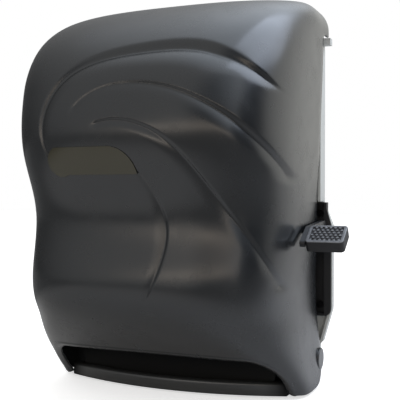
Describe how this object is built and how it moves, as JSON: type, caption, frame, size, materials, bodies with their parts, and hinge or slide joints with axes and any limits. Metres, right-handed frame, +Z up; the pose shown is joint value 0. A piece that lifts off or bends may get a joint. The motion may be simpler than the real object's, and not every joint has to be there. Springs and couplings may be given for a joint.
{
  "type": "lever roll towel dispenser",
  "caption": "Wall-mounted lever roll towel dispenser with a curved drop-down cover, side lever and pad, towel mouth below, and a geared feed roller inside.",
  "frame": {"origin": "centre of the back plate's wall face, midway between hem and crown of the cover", "axes": "+X towards the lever side, +Y into the wall, +Z up; the front faces -Y"},
  "size_m": [0.337, 0.2379, 0.419],
  "materials": {
    "cover_plastic": "semi-gloss smoke black moulding",
    "badge_plastic": "gloss dark olive black",
    "back_plastic": "satin light grey moulding",
    "chassis_plastic": "satin charcoal moulding",
    "lever_plastic": "satin black moulding",
    "gear_plastic": "natural acetal",
    "roller_plastic": "satin dark grey moulding",
    "sleeve_rubber": "matt dark grey rubber",
    "pad_rubber": "matt black rubber",
    "blade_steel": "stamped stainless steel",
    "shaft_steel": "bright drawn steel",
    "screw_steel": "zinc plated steel",
    "spring_steel": "spring wire",
    "lock_chrome": "nickel plated"
  },
  "bodies": {
    "chassis": {"back_plate": "back_plastic", "side_frame_left": "chassis_plastic", "side_frame_right": "chassis_plastic", "chute_pan": "chassis_plastic", "front_guide": "chassis_plastic", "tear_bar": "blade_steel", "tear_screws": "screw_steel", "guide_screws": "screw_steel", "chassis_screws": "screw_steel", "lever_bush": "gear_plastic", "feed_bushes": "gear_plastic", "pinch_bushes": "gear_plastic", "lever_housing": "lever_plastic", "arm_bracket_left": "chassis_plastic", "arm_bracket_right": "chassis_plastic", "arm_pins": "shaft_steel", "arm_springs": "spring_steel", "hinge_pins": "shaft_steel", "lock_catch": "screw_steel", "lever_return_spring": "spring_steel"},
    "cover": {"cover": "cover_plastic", "badge_plate": "badge_plastic", "lock_barrel": "lock_chrome"},
    "lock": {"lock_plug": "lock_chrome", "lock_cam": "screw_steel"},
    "lever": {"lever_shaft": "shaft_steel", "lever_sector": "gear_plastic", "lever_arm": "lever_plastic", "lever_pad": "pad_rubber", "lever_clip": "screw_steel"},
    "feed_roller": {"feed_shaft": "shaft_steel", "feed_core": "roller_plastic", "feed_sleeves": "sleeve_rubber", "drive_pinion": "gear_plastic", "feed_knob": "lever_plastic", "feed_clip": "screw_steel"},
    "pinch_roller": {"pinch_shaft": "shaft_steel", "pinch_sleeves": "sleeve_rubber", "pinch_clips": "screw_steel"},
    "roll_arm_left": {"roll_arm_left": "roller_plastic"},
    "roll_arm_right": {"roll_arm_right": "roller_plastic"},
    "roll_hub_left": {"roll_hub_left": "lever_plastic", "hub_clip_left": "screw_steel"},
    "roll_hub_right": {"roll_hub_right": "lever_plastic", "hub_clip_right": "screw_steel"}
  },
  "joints": [
    {"name": "cover_hinge", "type": "hinge", "parent": "chassis", "child": "cover", "pos_m": [0, -0.031, -0.183], "axis": [1, 0, 0], "range_deg": [0, 90]},
    {"name": "lock_turn", "type": "hinge", "parent": "cover", "child": "lock", "pos_m": [0, -0.026, 0.19], "axis": [0, 0, 1], "range_deg": [-90, 0]},
    {"name": "lever_press", "type": "hinge", "parent": "chassis", "child": "lever", "pos_m": [0, -0.0215, -0.04], "axis": [1, 0, 0], "range_deg": [0, 48], "stiffness_Nm_per_rad": 1.2, "springref_deg": -20.05},
    {"name": "feed_spin", "type": "hinge", "parent": "chassis", "child": "feed_roller", "pos_m": [0, -0.09863, -0.10404], "axis": [1, 0, 0], "range_deg": [-252, 0]},
    {"name": "pinch_spin", "type": "hinge", "parent": "chassis", "child": "pinch_roller", "pos_m": [0, -0.07619, -0.11975], "axis": [1, 0, 0], "range_deg": [0, 504]},
    {"name": "roll_arm_left_swing", "type": "hinge", "parent": "chassis", "child": "roll_arm_left", "pos_m": [-0.117, -0.016, 0.075], "axis": [0, 0, -1], "range_deg": [0, 10], "stiffness_Nm_per_rad": 1, "springref_deg": -11.46},
    {"name": "roll_arm_right_swing", "type": "hinge", "parent": "chassis", "child": "roll_arm_right", "pos_m": [0.117, -0.016, 0.075], "axis": [0, 0, 1], "range_deg": [0, 10], "stiffness_Nm_per_rad": 1, "springref_deg": -11.46},
    {"name": "roll_hub_left_spin", "type": "hinge", "parent": "roll_arm_left", "child": "roll_hub_left", "pos_m": [-0.105, -0.11, 0.075], "axis": [1, 0, 0], "continuous": true},
    {"name": "roll_hub_right_spin", "type": "hinge", "parent": "roll_arm_right", "child": "roll_hub_right", "pos_m": [0.105, -0.11, 0.075], "axis": [1, 0, 0], "continuous": true}
  ],
  "couplings": [
    {"joint": "feed_spin", "follows": "lever_press", "ratio": -5.25},
    {"joint": "pinch_spin", "follows": "lever_press", "ratio": 10.5}
  ]
}
